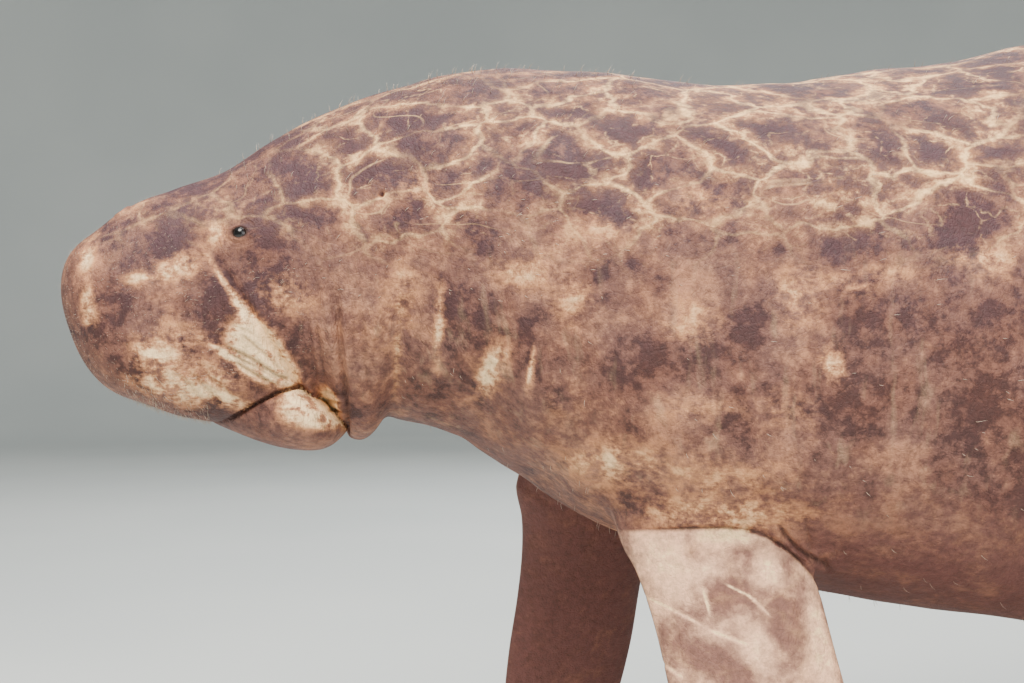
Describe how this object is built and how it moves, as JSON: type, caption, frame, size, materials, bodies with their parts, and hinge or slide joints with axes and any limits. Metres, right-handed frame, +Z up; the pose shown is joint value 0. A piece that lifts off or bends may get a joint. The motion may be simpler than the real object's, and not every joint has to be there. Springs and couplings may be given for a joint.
{
  "type": "manatee museum model",
  "caption": "Life-size still model of a manatee, head bowed and paddle flippers hanging, held over a flat base by slim rods.",
  "frame": {"origin": "centre of the underside of the stand's base", "axes": "+Z up, snout towards -X and tail towards +X, the animal's left flank towards -Y"},
  "size_m": [3.0387, 0.6916, 1.05],
  "materials": {
    "skin": "matte, mottled brown-grey hide with fine wrinkles",
    "lip_skin": "matte, paler and wrinkled hide of the lips and jaw",
    "eye": "dark wet eye",
    "nail": "dull horn",
    "board": "fibreboard under satin dark grey paint",
    "rod": "brushed steel"
  },
  "bodies": {
    "root": {"muzzle": "lip_skin", "head": "skin", "lower_jaw": "lip_skin", "neck": "skin", "chest": "skin", "abdomen": "skin", "tail_stock": "skin", "tail_paddle": "skin", "flipper_left": "skin", "flipper_right": "skin", "eye_left": "eye", "eye_right": "eye", "nail_left_1": "nail", "nail_left_2": "nail", "nail_left_3": "nail", "nail_right_1": "nail", "nail_right_2": "nail", "nail_right_3": "nail", "stand_base": "board", "stand_rod_front": "rod", "stand_rod_rear": "rod"}
  },
  "joints": []
}
